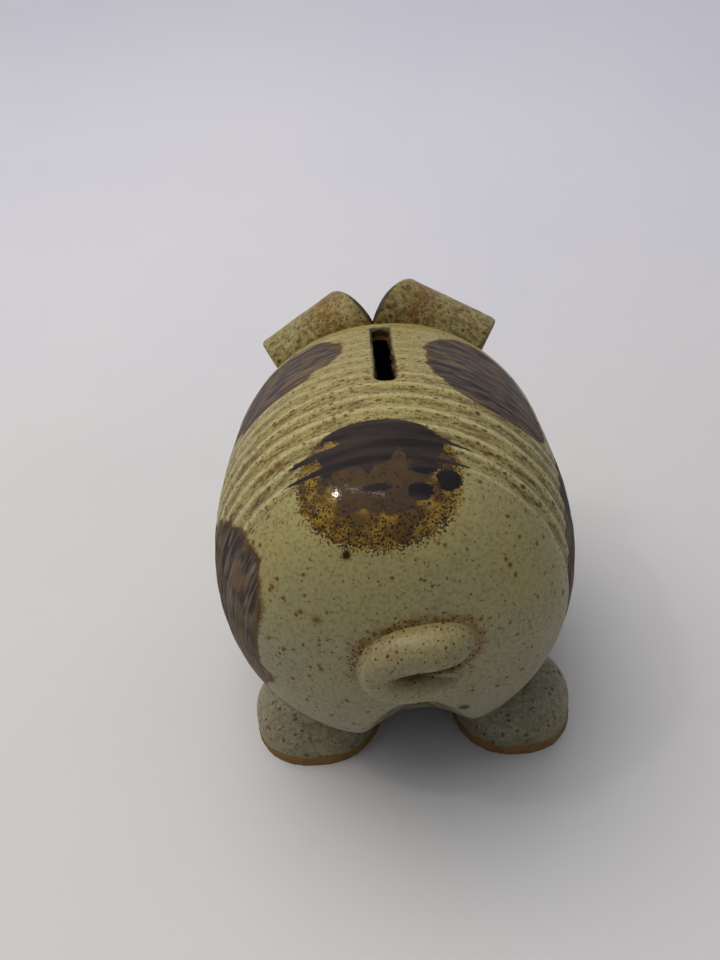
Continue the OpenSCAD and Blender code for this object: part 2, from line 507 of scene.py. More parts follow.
def curl_ear(name, mirror, length, ridge_side, ridge_up, seed):
    bpy.ops.mesh.primitive_grid_add(x_subdivisions=16, y_subdivisions=24, size=1)
    piece = named(name)
    flat = points_of(piece) + 0.5
    ridge = flat[:, 0]
    angle = CURL_FROM + (CURL_TO - CURL_FROM) * flat[:, 1]
    radius = EAR_R_INNER + (EAR_R_OUTER - EAR_R_INNER) * ridge
    across, high = radius * np.sin(angle), -radius * np.cos(angle) - EAR_R_INNER
    bulge = 1.8 * np.sin(math.pi * np.clip(flat[:, 1] / 0.65, 0, 1))
    start, end = -across * INNER_SLANT - bulge, length - across * OUTER_SLANT
    run = start + (end - start) * ridge
    side = run * math.cos(EAR_TILT) + high * math.sin(EAR_TILT) + ridge_side
    up = high * math.cos(EAR_TILT) - run * math.sin(EAR_TILT) + ridge_up
    curled = np.stack([side, across + EAR_ALONG, up], axis=1) * MM
    curled[:, 0] *= mirror
    curled += np.array(on_pot(0, 0, 0))
    move_points(piece, curled)
    if mirror > 0:
        edit_all(piece)
        bpy.ops.mesh.flip_normals()
        close_edit()
    apply_modifier(piece, "SOLIDIFY", thickness=EAR_THICK * MM, offset=-1, use_even_offset=True)
    apply_modifier(piece, "SUBSURF", levels=1, render_levels=1)
    work_clay(piece, 0.55 * MM, 8, 0.35 * MM, 9 * MM, seed)
    lute_on(piece)
    paint_ear(piece, mirror, length, on_pot(mirror * ridge_side, EAR_ALONG, ridge_up))
    return piece


def paint_ear(piece, mirror, length, ridge):
    """Paints an ear's worn ends and rims, and the rust that gathered near the head."""
    tube_axis = Vector((mirror * math.cos(EAR_TILT), 0, -math.sin(EAR_TILT)))
    tube_up = Vector((mirror * math.sin(EAR_TILT), 0, math.cos(EAR_TILT)))
    away = points_of(piece) - np.array(ridge - tube_up * EAR_R_INNER * MM)
    run = away @ np.array(tube_axis)
    outward = away - np.outer(run, np.array(tube_axis))
    outward /= np.linalg.norm(outward, axis=1)[:, None]
    facing = np.abs(np.sum(outward * normals_of(piece), axis=1))
    run, across = run / MM, away[:, 1] / MM
    to_outer_end = length - across * OUTER_SLANT - run
    to_inner_end = run + across * INNER_SLANT + 1.2
    near_end = 1 - smoothstep(0.2, 2.0, np.minimum(to_outer_end, to_inner_end))
    paint(piece, "worn_edge", np.maximum(near_end, 1 - smoothstep(0.5, 0.97, facing)))
    paint(piece, "mottle", 1)
    paint(piece, "ring_groove", 0.3)
    paint(piece, "rust_and_crease_shade", 0.9 * np.exp(-(((run - 7) / 5) ** 2)))


ear_left = curl_ear("ear_left_curl", 1, 33, 12.4, 61, 11)
ear_right = curl_ear("ear_right_curl", -1, 35, 10.8, 63, 12)

# %% [markdown]
# ## Snout
#
# The snout is a thick disc, a little wider at its face, with a pressed rim and two nostrils poked
# with the end of a tool. It is extruded and inset from one circle. The nostrils are cut with tapered
# plugs, and working the clay rounds their edges.

# %% Make the snout
snout_low, snout_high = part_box("snout")
SNOUT_R = (snout_high.x - snout_low.x) / 2
SNOUT_LEN, SNOUT_RIM, SNOUT_PRESS, NOSTRIL_SIDE = 17 * MM, 3.2 * MM, 1.1 * MM, 7 * MM
bpy.ops.mesh.primitive_circle_add(
    vertices=64, radius=SNOUT_R, fill_type="NGON",
    location=(0, snout_low.y, AXIS_Z), rotation=(math.radians(90), 0, 0),
)
snout = named("snout_disc")
settle(snout)
edit_all(snout)
bpy.ops.mesh.select_mode(type="FACE")
bpy.ops.mesh.inset(thickness=SNOUT_RIM, depth=0)
bpy.ops.mesh.inset(thickness=2.2 * MM, depth=-SNOUT_PRESS)
bpy.ops.mesh.select_mode(type="EDGE")
bpy.ops.mesh.select_all(action="DESELECT")
bpy.ops.mesh.select_non_manifold()
bpy.ops.mesh.extrude_edges_move(TRANSFORM_OT_translate={"value": (0, SNOUT_LEN, 0)})
bpy.ops.transform.resize(value=(0.9, 1, 0.9), center_override=(0, 0, AXIS_Z))
bpy.ops.mesh.edge_face_add()
close_edit(face_out=True)
for mirror in (-1, 1):
    bpy.ops.mesh.primitive_cone_add(
        vertices=32, radius1=2.2 * MM, radius2=3.6 * MM, depth=14 * MM,
        location=(mirror * NOSTRIL_SIDE, snout_low.y, AXIS_Z + 1 * MM), rotation=(math.radians(90), 0, 0),
    )
    nostril = named("nostril_plug")
    settle(nostril)
    cut_away(snout, nostril)
work_clay(snout, 0.6 * MM, 9, 0.3 * MM, 10 * MM, 13)
lute_on(snout)

# %% [markdown]
# ## Eyes
#
# Two pellets of darker clay were pressed on beside the brow, and each was pricked once with a round
# point. A small ball is cut with a cone to make the pupil, and is then worked as clay.

# %% Press on the eyes
EYE_SIDE, EYE_ALONG, EYE_UP, EYE_R = 17, -48, 24, 4.4


def press_eye(name, mirror, seed):
    centre = on_pot(mirror * EYE_SIDE, EYE_ALONG, EYE_UP)
    bpy.ops.mesh.primitive_uv_sphere_add(segments=32, ring_count=20, radius=EYE_R * MM, location=centre)
    piece = named(name)
    settle(piece)
    outward = Vector((mirror * 0.42, -0.66, 0.62)).normalized()
    bpy.ops.mesh.primitive_cone_add(
        vertices=20, radius1=0.3 * MM, radius2=1.5 * MM, depth=4 * MM, location=centre + outward * 4 * MM)
    prick = named("pupil_prick")
    prick.rotation_mode = "QUATERNION"
    prick.rotation_quaternion = outward.to_track_quat("Z", "Y")
    settle(prick)
    cut_away(piece, prick)
    work_clay(piece, 0.25 * MM, 5, 0.1 * MM, 3 * MM, seed)
    lute_on(piece)
    return piece


eye_left = press_eye("eye_left_pellet", 1, 14)
eye_right = press_eye("eye_right_pellet", -1, 15)

# %% [markdown]
# ## Feet
#
# A foot is a ball of clay set down on the bench, so it has a domed top and a flat base with a soft
# turned-under edge. A sphere is squashed to the measured size, bisected at the floor and closed. Below
# its widest level it is filled out, so that its side drops straight down, and fingers pinch it uneven.

# %% Set down the feet
FOOT_BELLY = 5 * MM  # the height where a foot is widest
FOOT_HALF_LENGTH = 20 * MM


def set_foot(name, node, half_width, along, centre_side, dome, seed):
    centre = on_pot(centre_side, along, 0)
    centre.z = FOOT_BELLY
    bpy.ops.mesh.primitive_uv_sphere_add(segments=64, ring_count=40, radius=1, location=centre)
    piece = named(name)
    piece.scale = (half_width * MM, FOOT_HALF_LENGTH, dome * MM)
    settle(piece)
    edit_all(piece)
    bpy.ops.mesh.bisect(plane_co=(0, 0, 0), plane_no=(0, 0, 1), use_fill=True, clear_inner=True)
    close_edit()
    points = points_of(piece)
    away = points - np.array(centre)
    waist = np.sqrt(np.clip(1 - (away[:, 2] / (dome * MM)) ** 2, 0.02, 1))
    fuller = np.where(away[:, 2] < 0, 1 / waist, waist**-0.3)
    points[:, :2] = np.array(centre)[:2] + away[:, :2] * fuller[:, None]
    move_points(piece, points)
    apply_modifier(piece, "REMESH", mode="VOXEL", voxel_size=0.7 * MM)
    apply_modifier(piece, "SMOOTH", factor=0.5, iterations=5)
    points = points_of(piece)
    away = points - np.array(centre)
    heading = np.arctan2(away[:, 1], away[:, 0])
    pinch = 0.5 + 0.5 * np.sin(3 * heading + seed) * np.cos(2 * heading - seed)
    level = 1 - smoothstep(8 * MM, 20 * MM, away[:, 2])
    inward = 0.9 * MM * pinch * level + 0.5 * MM * lumps(points, 9 * MM, seed)
    normals = normals_of(piece)
    normals[:, 2] *= smoothstep(0, 3 * MM, points[:, 2])
    points -= normals * inward[:, None]
    points[:, 2] -= points[:, 2].min()
    points[:, 2] = np.where(points[:, 2] < 0.25 * MM, 0, points[:, 2])
    move_points(piece, points)
    lute_on(piece)
    piece["node"] = node
    return piece


# each foot: its half width, its place along and across the pot, the height of its dome, its lumps
feet = [
    set_foot("foot_front_left_pad", "foot_front_left", 20, -26, 28, 22, 21),
    set_foot("foot_front_right_pad", "foot_front_right", 20, -26, -28, 22, 22),
    set_foot("foot_rear_left_pad", "foot_rear_left", 21, 50, 28.5, 13.8, 23),
    set_foot("foot_rear_right_pad", "foot_rear_right", 19.5, 50, -33.5, 13.8, 24),
]

# %% [markdown]
# ## Tail
#
# The tail is a rope of clay: a fat strand across the rump, a turn on the left and a thinner strand
# back, smeared into the pot with a thumb. The rope is a curve whose points have their own radius. The
# smear is a thin skin copied from the rump under it, and remeshing the two together gives the soft
# fillet that the thumb left.

# %% Roll the tail and smear it on
TAIL_ROUTE = [  # side, along, up and the rope's radius, in millimetres
    (-15.5, 84.5, 5.4, 4.6), (-12.8, 89.0, 5.9, 6.0), (-8.3, 90.6, 6.2, 6.2), (-4, 91.0, 6.0, 6.0),
    (1, 90.9, 4.6, 5.8), (5, 90.6, 1.6, 5.4), (6.0, 90.2, -2.4, 5.1), (4, 89.9, -5.6, 4.7),
    (-1, 89.6, -7.4, 4.5), (-6, 88.8, -8.1, 4.3), (-13, 87.0, -8.2, 3.8),
]
bpy.ops.curve.primitive_nurbs_path_add(radius=1 * MM)
tail = named("tail_rope")
tail.data.dimensions = "3D"
bpy.ops.object.mode_set(mode="EDIT")
bpy.ops.curve.select_all(action="SELECT")
while len(tail.data.splines[0].points) < len(TAIL_ROUTE):
    bpy.ops.curve.de_select_first()
    bpy.ops.curve.select_all(action="DESELECT")
    bpy.ops.curve.de_select_last()
    bpy.ops.curve.extrude_move(TRANSFORM_OT_translate={"value": (1 * MM, 0, 0)})
bpy.ops.object.mode_set(mode="OBJECT")
for point, (side_mm, along_mm, up_mm, thick) in zip(tail.data.splines[0].points, TAIL_ROUTE):
    point.co = (*on_pot(side_mm, along_mm, up_mm), 1)
    point.radius = thick
tail.data.splines[0].use_endpoint_u = True
tail.data.splines[0].order_u = 3
tail.data.splines[0].resolution_u = 8
tail.data.bevel_depth = 1 * MM
tail.data.bevel_resolution = 8
tail.data.use_fill_caps = True
print("tail route:", len(tail.data.splines[0].points), "points")

# %% [markdown]
# The distance from the rope is needed twice: to let the smear dive into the rump a few millimetres
# away, and later to paint brown along the rope's outline. That brown is partly rust where the glaze
# broke over the edge and partly painted shade in the crease where the rope meets the rump.

# %% Distance from the tail, and the smear
def tail_distance(points):
    """Distance in millimetres outside the tail's rope; less than 0 inside it."""
    nearest = np.full(len(points), 1e3)
    route = [(np.array(on_pot(*stop[:3])) / MM, stop[3]) for stop in TAIL_ROUTE]
    for (start, thick_start), (end, thick_end) in zip(route, route[1:]):
        along_run = (points / MM - start) @ (end - start) / np.dot(end - start, end - start)
        share = np.clip(along_run, 0, 1)[:, None]
        gap = np.linalg.norm(points / MM - (start + share * (end - start)), axis=1)
        thick = thick_start + (thick_end - thick_start) * share[:, 0]
        nearest = np.minimum(nearest, gap - thick)
    return nearest


choose(tail)
bpy.ops.object.convert(target="MESH")
tail = named("tail_rope")

choose(pot)
bpy.ops.object.duplicate()
smear = named("tail_smear")
centres = face_centres(smear)
facing = rows_of(smear.data.polygons, "normal")
keep = (tail_distance(centres) < 7) & (facing[:, 1] > 0) & (centres[:, 1] > RING_Y + 75 * MM)
pick(smear, "FACE", ~keep)
bpy.ops.mesh.delete(type="FACE")
close_edit()
points = points_of(smear)
side, along, up, turn = pot_measures(points)
under = smoothstep(-3, -7, up)
end = 0.8 * np.exp(-((side + 14) ** 2 + (up - 5) ** 2) / 18)
lift = -1.3 + 1.5 * np.maximum(under, end) * (1 - smoothstep(1.0, 5.5, tail_distance(points)))
move_points(smear, points + normals_of(smear) * (lift * MM)[:, None])
apply_modifier(smear, "SOLIDIFY", thickness=1.2 * MM, offset=-1)
choose(tail, smear)
bpy.ops.object.join()
work_clay(tail, 0.45 * MM, 5, 0.25 * MM, 6 * MM, 16)
lute_on(tail)

# %% [markdown]
# ## Cork
#
# The bung is a common tapered cork. It is turned from a cone whose rims are bevelled, then divided
# finely enough for the dark pits of cork bark to be pressed in. The pits only go inwards, so the cork
# still clears its hole.

# %% Turn the cork
bpy.ops.mesh.primitive_cone_add(radius1=CORK_R, radius2=CORK_R - CORK_TAPER, **CORK_CONE)
cork = named("stopper_cork")
settle(cork)
pick(cork, "FACE", [abs(face.normal.z) > 0.9 for face in cork.data.polygons])
bpy.ops.mesh.bevel(offset=0.9 * MM, segments=3)
close_edit()
pick(cork, "FACE", [abs(face.normal.z) > 0.99 for face in cork.data.polygons])
CORK_END_RINGS = 9  # insets that divide each end finely
for _ in range(CORK_END_RINGS):
    bpy.ops.mesh.inset(thickness=1.25 * MM)
close_edit()
pick(cork, "FACE", [face.area > 8 * MM**2 and abs(face.normal.z) < 0.5 for face in cork.data.polygons])
bpy.ops.mesh.subdivide(number_cuts=20, quadcorner="INNERVERT")
close_edit()
points = points_of(cork)
pits = smoothstep(0.66, 0.78, lumps(points, 2.2 * MM, 17))
move_points(cork, points - normals_of(cork) * (0.45 * MM * pits)[:, None])
smooth_shade(cork, 40)
bpy.data.objects.remove(core)

# %% [markdown]
# ## Where the iron went
#
# After dipping, the potter dabbed iron oxide over the raw glaze with a loaded brush: one round splash
# on the rump and a broad patch on each shoulder and flank. Each patch is painted on the pot's points
# as a distance from its edge, greater than 0 inside. A finish can then put a ragged edge on it, far
# finer than the points are. The distances are stored between 0 and 1 with the edge at one half,
# because a piece without the attribute reads 0, which means far outside.

# %% Shapes that a brush leaves
SPLASH_REACH, POOL_REACH = 20.0, 8.0  # millimetres of distance that an attribute's 0 to 1 stands for


def oval(across, down, centre, radii, squareness=2.0):
    """Distance inside an oval's edge, in the units of its radii."""
    reach = np.abs((across - centre[0]) / radii[0]) ** squareness
    reach += np.abs((down - centre[1]) / radii[1]) ** squareness
    return (1 - reach ** (1 / squareness)) * min(radii)


def streak(across, down, start, tip, half_width):
    """Distance inside a streak that starts at its full width and thins to its tip."""
    run = (across - start[0]) / (tip[0] - start[0])
    middle = start[1] + (tip[1] - start[1]) * run
    width = half_width * np.clip(1 - run, 0, 1) ** 0.8
    ends = np.minimum(run, 1 - run) * abs(tip[0] - start[0])
    return np.minimum(width - np.abs(down - middle), ends)


# %% Paint the splash on the rump
side, along, up, turn = pot_measures(points_of(pot))
splash_side = side - 1
splash_down = (along - 72.4) * 0.778 - (up - 42.1) * 0.629
behind = (along > 50) & (up > 15)
disc = oval(splash_side, splash_down, (0.5, 0.5), (19.5, 17.2), 2.1)
low_edge = -3.2 + 2.6 * np.exp(-((splash_side - 2.9) / 1.5) ** 2)
low_edge -= 4.4 * np.exp(-((splash_side + 4.6) / 1.6) ** 2) + 6.5 * smoothstep(12.5, 17, np.abs(splash_side))
cap = np.minimum(disc, low_edge - splash_down)
STREAKS = [  # start, tip and half width of each lick of the brush
    ((8, -10.3), (22.6, -5.4), 1.7), ((7, -4.6), (22.9, -0.9), 1.6), ((-9, -12.0), (-22.3, -6.4), 1.8),
    ((-8, -5.2), (-21.0, -1.7), 1.4), ((-8, -8.4), (-18.0, -5.0), 1.7),
]
BLOBS = [  # middle and radii of each drop
    ((-8.9, 4.6), (3.0, 2.3)), ((-15.6, 1.6), (2.9, 3.0)), ((-10.5, -1.6), (4.0, 1.9)),
    ((1.7, 3.1), (3.6, 0.9)), ((12.5, -1.6), (1.4, 0.9)),
]
for start, tip, half_width in STREAKS:
    cap = np.maximum(cap, streak(splash_side, splash_down, start, tip, half_width))
for centre, radii in BLOBS:
    cap = np.maximum(cap, oval(splash_side, splash_down, centre, radii))
lens = oval(splash_side, splash_down, (13.5, -10.2), (3.6, 1.5))
cap = np.minimum(cap, -lens)
splash = np.maximum(disc, cap)
paint(pot, "iron_splash", np.where(behind, 0.5 + splash / SPLASH_REACH, 0))
paint(pot, "iron_pool", np.where(behind, 0.5 + cap / POOL_REACH, 0))

# %% Paint the patches on the shoulders and flanks
DEGREE_ARC = 0.94  # millimetres round the pot to a degree
arc = np.degrees(turn) * DEGREE_ARC
slanted = arc + 0.8 * (along - 62)
brush = np.maximum.reduce([
    oval(arc, along, (36 * DEGREE_ARC, 13), (24.5 * DEGREE_ARC, 15), 2.2),
    oval(arc, along, (-38 * DEGREE_ARC, 22), (23.5 * DEGREE_ARC, 22.5), 2.4),
    oval(slanted, along, (92, 58.5), (38, 23.5), 3),
    oval(arc, along, (104 * DEGREE_ARC, 77), (8, 6.5)),
    oval(arc, along, (-97 * DEGREE_ARC, 42), (30, 27), 2.6),
])
paint(pot, "iron_brush", 0.5 + brush / SPLASH_REACH)
print(f"iron covers {100 * np.mean((brush > 0) | (splash > 0)):.0f}% of the pot's points")

# %% Paint the grooves, the worn edges, the rust and the painted shade by the tail
strength = ring_strength(along, turn)
fibrous = 0.22 * (1 - smoothstep(62, 74, along))
paint(pot, "ring_groove", ring_depth(along, turn) * strength + fibrous)
paint(pot, "ring_crest", (1 - 2.2 * ring_depth(along, turn)) * strength)
lip = 1 - smoothstep(0.1, 1.8, slot_distance(side, along))
paint(pot, "worn_edge", np.where(up > 0, lip, 0))
for piece in (pot, tail):
    gap = tail_distance(points_of(piece))
    side, along, up, turn = pot_measures(points_of(piece))
    # Along the top of the tail's rope and in the hollow of its loop, the brown is partly rust and partly
    # painted shade in the crease and the hollow.
    rust_and_shade = np.exp(-(((gap - 0.8) / 1.4) ** 2)) * smoothstep(-7, 0, up)
    rust_and_shade *= 0.4 if piece is tail else 1
    in_loop = 1 - smoothstep(0.6, 1.4, from_tail_loop(side, up, -0.8))
    paint(piece, "rust_and_crease_shade", (rust_and_shade + 1.2 * in_loop) * (along > 75))
paint(snout, "mottle", 0.5)
for foot in feet:
    paint(foot, "mottle", 0.4)
    paint(foot, "ring_groove", 0.3)
points = points_of(snout)
from_middle = np.hypot(points[:, 0], points[:, 2] - AXIS_Z)
paint(snout, "worn_edge", smoothstep(SNOUT_R - 2.2 * MM, SNOUT_R - 0.4 * MM, from_middle))
print("painted on the pot:", ", ".join(a.name for a in pot.data.attributes if a.data_type == "FLOAT"))

# %% [markdown]
# ## Tools for the finishes
#
# Every finish is a graph of nodes. One function adds a node, sets it and links it, and hands back one
# of its outputs, so that a finish reads from the ground up. Colours are written as they look on a
# screen and one function turns them into the linear values that light needs.

# %% Node and colour tools
def linear(hex_colour):
    channels = [int(hex_colour[i:i + 2], 16) / 255 for i in (1, 3, 5)]
    lit = [c / 12.92 if c <= 0.04045 else ((c + 0.055) / 1.055) ** 2.4 for c in channels]
    return (*lit, 1)


def plug(tree, socket, value):
    """Links another node's output to a socket, or sets the socket to a plain value."""
    if isinstance(value, bpy.types.NodeSocket):
        tree.links.new(value, socket)
    else:
        socket.default_value = value


def add(tree, kind, inputs=None, want=None, **settings):
    """Adds a node, sets and links its inputs by name or number, and returns the output called want."""
    node = tree.nodes.new("ShaderNode" + kind)
    for setting, value in settings.items():
        setattr(node, setting, value)
    shown = [socket for socket in node.inputs if socket.enabled]
    for key, value in (inputs or {}).items():
        plug(tree, shown[key] if isinstance(key, int) else next(s for s in shown if s.name == key), value)
    return next(socket for socket in node.outputs if socket.enabled and want in (None, socket.name))


# %% Start a finish, end it, and put it on a piece
def start_finish(name):
    """A new finish, its nodes, and the place on the piece that its patterns go by."""
    finish = bpy.data.materials.new(name)
    finish.use_nodes = True
    return finish, finish.node_tree, add(finish.node_tree, "TexCoord", want="Object")


def end_finish(tree, colour, roughness, height=None, strength=1.0, depth=0.0):
    """Plugs a finish's colour, roughness and bumps into its shader; depth is in millimetres."""
    shader = tree.nodes["Principled BSDF"].inputs
    shader["IOR"].default_value = 1.5
    plug(tree, shader["Base Color"], colour)
    plug(tree, shader["Roughness"], roughness)
    if height is not None:
        bump = add(tree, "Bump", {"Height": height, "Strength": strength, "Distance": depth * MM})
        plug(tree, shader["Normal"], bump)


def wear(piece, material):
    """Gives a whole piece one finish."""
    piece.data.materials.clear()
    piece.data.materials.append(material)


# %% [markdown]
# ## Patterns that the finishes share
#
# Iron in the clay bleeds through the glaze as freckles. A Voronoi texture divides space into cells,
# and a spot drawn round the middle of some of them gives freckles of one rough size and number. Each
# cell has its own random colour, which is used to choose which cells have a spot and how large it is.
# Clouds are a noise texture, stretched to more contrast. A texture's scale says how many of its
# details fit in a metre, so it is worked out from the width of one detail in millimetres.

# %% Layers, clouds and heights
def scale_of(width):
    return 1 / (width * MM)


def lay_over(tree, under, over, *masks, kind="RGBA"):
    """Lays one colour or value over another, as thickly as all the masks and shares multiplied."""
    under, over = (linear(layer) if isinstance(layer, str) else layer for layer in (under, over))
    cover = masks[0]
    for mask in masks[1:]:
        cover = add(tree, "Math", {0: cover, 1: mask}, operation="MULTIPLY")
    return add(tree, "Mix", {"Factor": cover, "A": under, "B": over}, data_type=kind)


def clouds(tree, place, width, detail, thin, thick, least=0.0, most=1.0):
    """Clouds of a width in millimetres: least where the noise is below thin, most where above thick."""
    raw = add(tree, "TexNoise", {"Vector": place, "Scale": scale_of(width), "Detail": detail})
    limits = {"From Min": thin, "From Max": thick, "To Min": least, "To Max": most}
    return add(tree, "MapRange", {"Value": raw, **limits})


def by_height(tree, place, start, end):
    """0 at a height in millimetres above the pot's axis, or below it, changing to 1 at another."""
    height = add(tree, "SeparateXYZ", {"Vector": place}, want="Z")
    limits = {"From Min": AXIS_Z + start * MM, "From Max": AXIS_Z + end * MM}
    return add(tree, "MapRange", {"Value": height, **limits})


# %% Freckles and ragged places
def freckles(tree, place, cell, radius, share):
    """1 in round spots and 0 elsewhere; cell and radius are in millimetres, share is how many cells."""
    reach = add(tree, "TexVoronoi", {"Vector": place, "Scale": scale_of(cell)}, feature="F1")
    chance = add(tree, "SeparateColor", {"Color": reach.node.outputs["Color"]})
    green = chance.node.outputs["Green"]
    own_size = add(tree, "Math", {0: green, 1: 0.9, 2: 0.5}, operation="MULTIPLY_ADD")
    from_middle = add(tree, "Math", {0: reach, 1: own_size}, operation="DIVIDE")
    edge = radius / cell
    spot = add(tree, "MapRange", {"Value": from_middle, "From Min": 1.3 * edge, "From Max": 0.6 * edge},
               interpolation_type="SMOOTHSTEP")
    present = add(tree, "Math", {0: chance, 1: share}, operation="LESS_THAN")
    return add(tree, "Math", {0: spot, 1: present}, operation="MULTIPLY")


def ragged(tree, place, grain, reach):
    """The same place, shifted at random by up to about half of reach, so that shapes get rough edges."""
    cloud = add(tree, "TexNoise", {"Vector": place, "Scale": scale_of(grain), "Detail": 2.0}, want="Color")
    centred = add(tree, "VectorMath", {0: cloud, 1: (0.5, 0.5, 0.5)}, operation="SUBTRACT")
    shift = add(tree, "VectorMath", {0: centred, "Scale": reach * MM}, operation="SCALE")
    return add(tree, "VectorMath", {0: place, 1: shift}, operation="ADD")


# %% [markdown]
# ## Oatmeal glaze on stoneware
#
# This is an ash glaze over iron-bearing stoneware, fired in reduction. It is a satin glass, so it has
# an IOR of about 1.5 and a soft, broad gloss. It is warm and yellow where it is thin, on the upper
# side and the crests of the rings, and grey-green where it is thick. The upper side is also painted
# lighter as painted light from above, and the pale crests are partly a painted highlight. Freckles
# crowd into the grooves.
# The finish is built in layers: the glass, the grooves and crests, speckle and mottle, freckles of
# several sizes, rust with painted shade round the tail, the worn edges, and last the brushed iron, on
# the pot alone.

# %% The colour of the glaze
# The high colour is lighter partly as painted light from above; the crest colour is partly a painted
# highlight.
GLAZE_LOW_THICK_AND_SHADED, GLAZE_HIGH_THIN_AND_LIT = "#928f77", "#a39962"
CREST_PALE_AND_HIGHLIGHT, GROOVE_BROWN = "#c6bf8c", "#5b441f"
FRECKLE, FRECKLE_RUSTY, FRECKLE_DARK, RUST_AND_CREASE_SHADE = "#573a10", "#6e450f", "#2b1c08", "#7a5214"
EDGE_BROWN, MOTTLE_DARK, MOTTLE_PALE = "#36240f", "#543e1a", "#ada070"


def glaze_ground(tree, place):
    """The glaze's colour before any brushed iron, with its freckles, and the mask of its dark spots."""
    groove, crest, mottle, rust_and_shade, edge = [
        add(tree, "Attribute", want="Fac", attribute_name=name)
        for name in ("ring_groove", "ring_crest", "mottle", "rust_and_crease_shade", "worn_edge")]
    # Lighter and yellower towards the top: partly thinner glaze, partly painted light from above.
    high = by_height(tree, place, -30, 48)
    tone = clouds(tree, place, 16, 3.0, 0, 1, -0.45, 0.45)
    tone = add(tree, "Math", {0: tone, 1: high}, operation="ADD", use_clamp=True)
    colour = lay_over(tree, GLAZE_LOW_THICK_AND_SHADED, GLAZE_HIGH_THIN_AND_LIT, tone)

    along_rings = add(tree, "Mapping", {"Vector": place, "Scale": (0.16, 1, 0.16)})
    fibres = clouds(tree, ragged(tree, along_rings, 3, 0.8), 0.9, 4.0, 0.42, 0.68)
    colour = lay_over(tree, colour, GROOVE_BROWN, fibres, groove, 0.95)
    # Pale crests: partly thin glaze, partly a painted highlight along each ring.
    colour = lay_over(tree, colour, CREST_PALE_AND_HIGHLIGHT, crest)
    colour = lay_over(tree, colour, GROOVE_BROWN, clouds(tree, place, 0.9, 5.0, 0.46, 0.7), 0.4)
    colour = lay_over(tree, colour, MOTTLE_DARK, clouds(tree, place, 1.7, 6.0, 0.42, 0.62), mottle, 0.65)
    colour = lay_over(tree, colour, MOTTLE_PALE, clouds(tree, place, 6, 5.0, 0.53, 0.66), mottle, 0.45)

    crowd = clouds(tree, place, 9, 3.0, 0.42, 0.64, 0.03, 0.6)
    thinned = add(tree, "MapRange", {"Value": high, "To Min": 0.3})
    crowd = add(tree, "Math", {0: crowd, 1: thinned}, operation="MULTIPLY")
    upper = add(tree, "Math", {0: high, 1: 0.25, 2: crowd}, operation="MULTIPLY_ADD")
    upper = add(tree, "Math", {0: upper, 1: 0.45}, operation="MULTIPLY")
    fine_share = add(tree, "Math", {0: groove, 1: 1.2, 2: upper}, operation="MULTIPLY_ADD")
    middle_share = add(tree, "Math", {0: crowd, 1: 2.4}, operation="MULTIPLY")
    rough = ragged(tree, place, 0.8, 0.35)
    drawn_out = add(tree, "Mapping", {"Vector": rough, "Scale": (0.42, 1, 0.42)})
    fine = freckles(tree, rough, 0.8, 0.24, fine_share)
    dashes = freckles(tree, drawn_out, 1.0, 0.3, groove)
    middle = freckles(tree, rough, 2.2, 0.52, middle_share)
    bleed = freckles(tree, rough, 8.5, 1.6, 0.28)
    large = freckles(tree, rough, 8.5, 1.05, 0.28)
    colour = lay_over(tree, colour, FRECKLE, fine, 0.75)
    colour = lay_over(tree, colour, FRECKLE, dashes, 0.9)
    colour = lay_over(tree, colour, FRECKLE_RUSTY, middle, 0.9)
    colour = lay_over(tree, colour, RUST_AND_CREASE_SHADE, bleed, 0.5)
    colour = lay_over(tree, colour, FRECKLE_DARK, large)

    # Rust brown: rust on the ears. By the tail it is partly rust and partly painted shade in the crease and
    # the loop's hollow.
    colour = lay_over(tree, colour, RUST_AND_CREASE_SHADE, clouds(tree, place, 2.2, 3.0, 0.35, 0.6), rust_and_shade, 0.85)
    fleck_share = add(tree, "Math", {0: rust_and_shade, 1: 0.95}, operation="MULTIPLY")
    colour = lay_over(tree, colour, FRECKLE, freckles(tree, rough, 0.85, 0.28, fleck_share))

    breaks = clouds(tree, place, 2.5, 3.0, 0, 1, -0.25, 0.25)
    worn = add(tree, "Math", {0: edge, 1: breaks}, operation="ADD")
    worn = add(tree, "MapRange", {"Value": worn, "From Min": 0.45, "From Max": 0.95})
    colour = lay_over(tree, colour, EDGE_BROWN, worn, edge, 0.85)
    return colour, large


# %% The skin of the glaze
def skin_bump(tree, place, pits):
    """The glaze's surface: an orange-peel ripple, fine tooth, and pits where iron blistered."""
    ripple, tooth = [
        add(tree, "TexNoise", {"Vector": place, "Scale": scale_of(width), "Detail": 2.0})
        for width in (2.4, 0.5)]
    surface = add(tree, "Math", {0: tooth, 1: 0.3, 2: ripple}, operation="MULTIPLY_ADD")
    return add(tree, "Math", {0: pits, 1: -0.5, 2: surface}, operation="MULTIPLY_ADD")


# %% [markdown]
# ## Brushed iron
#
# Iron oxide brushed over the raw glaze melts into it. Thin, it fires to a purple-brown satin with
# pale threads along the rings. Where it lay thick it ran into a glossy golden pool whose rim is
# crowded with dark crystals. The painted distances say where each patch is. Noise moves the edge, by
# streaks along the rings for the brush and by a coarse grain for the pool's speckled rim.

# %% Edges of the iron
IRON_GREY, IRON_PALE, IRON_BROWN, IRON_RIM = "#372d27", "#86796c", "#70593a", "#5e4420"
GOLD, GOLD_DEEP, POOL_BROWN = "#947828", "#5f4615", "#4c3824"
IRON_BLACK, IRON_PURPLE = "#1b1513", "#3c302a"


def painted_distance(tree, attribute, reach):
    """The painted distance inside an edge, in millimetres."""
    stored = add(tree, "Attribute", want="Fac", attribute_name=attribute)
    return add(tree, "Math", {0: stored, 1: reach, 2: -reach / 2}, operation="MULTIPLY_ADD")


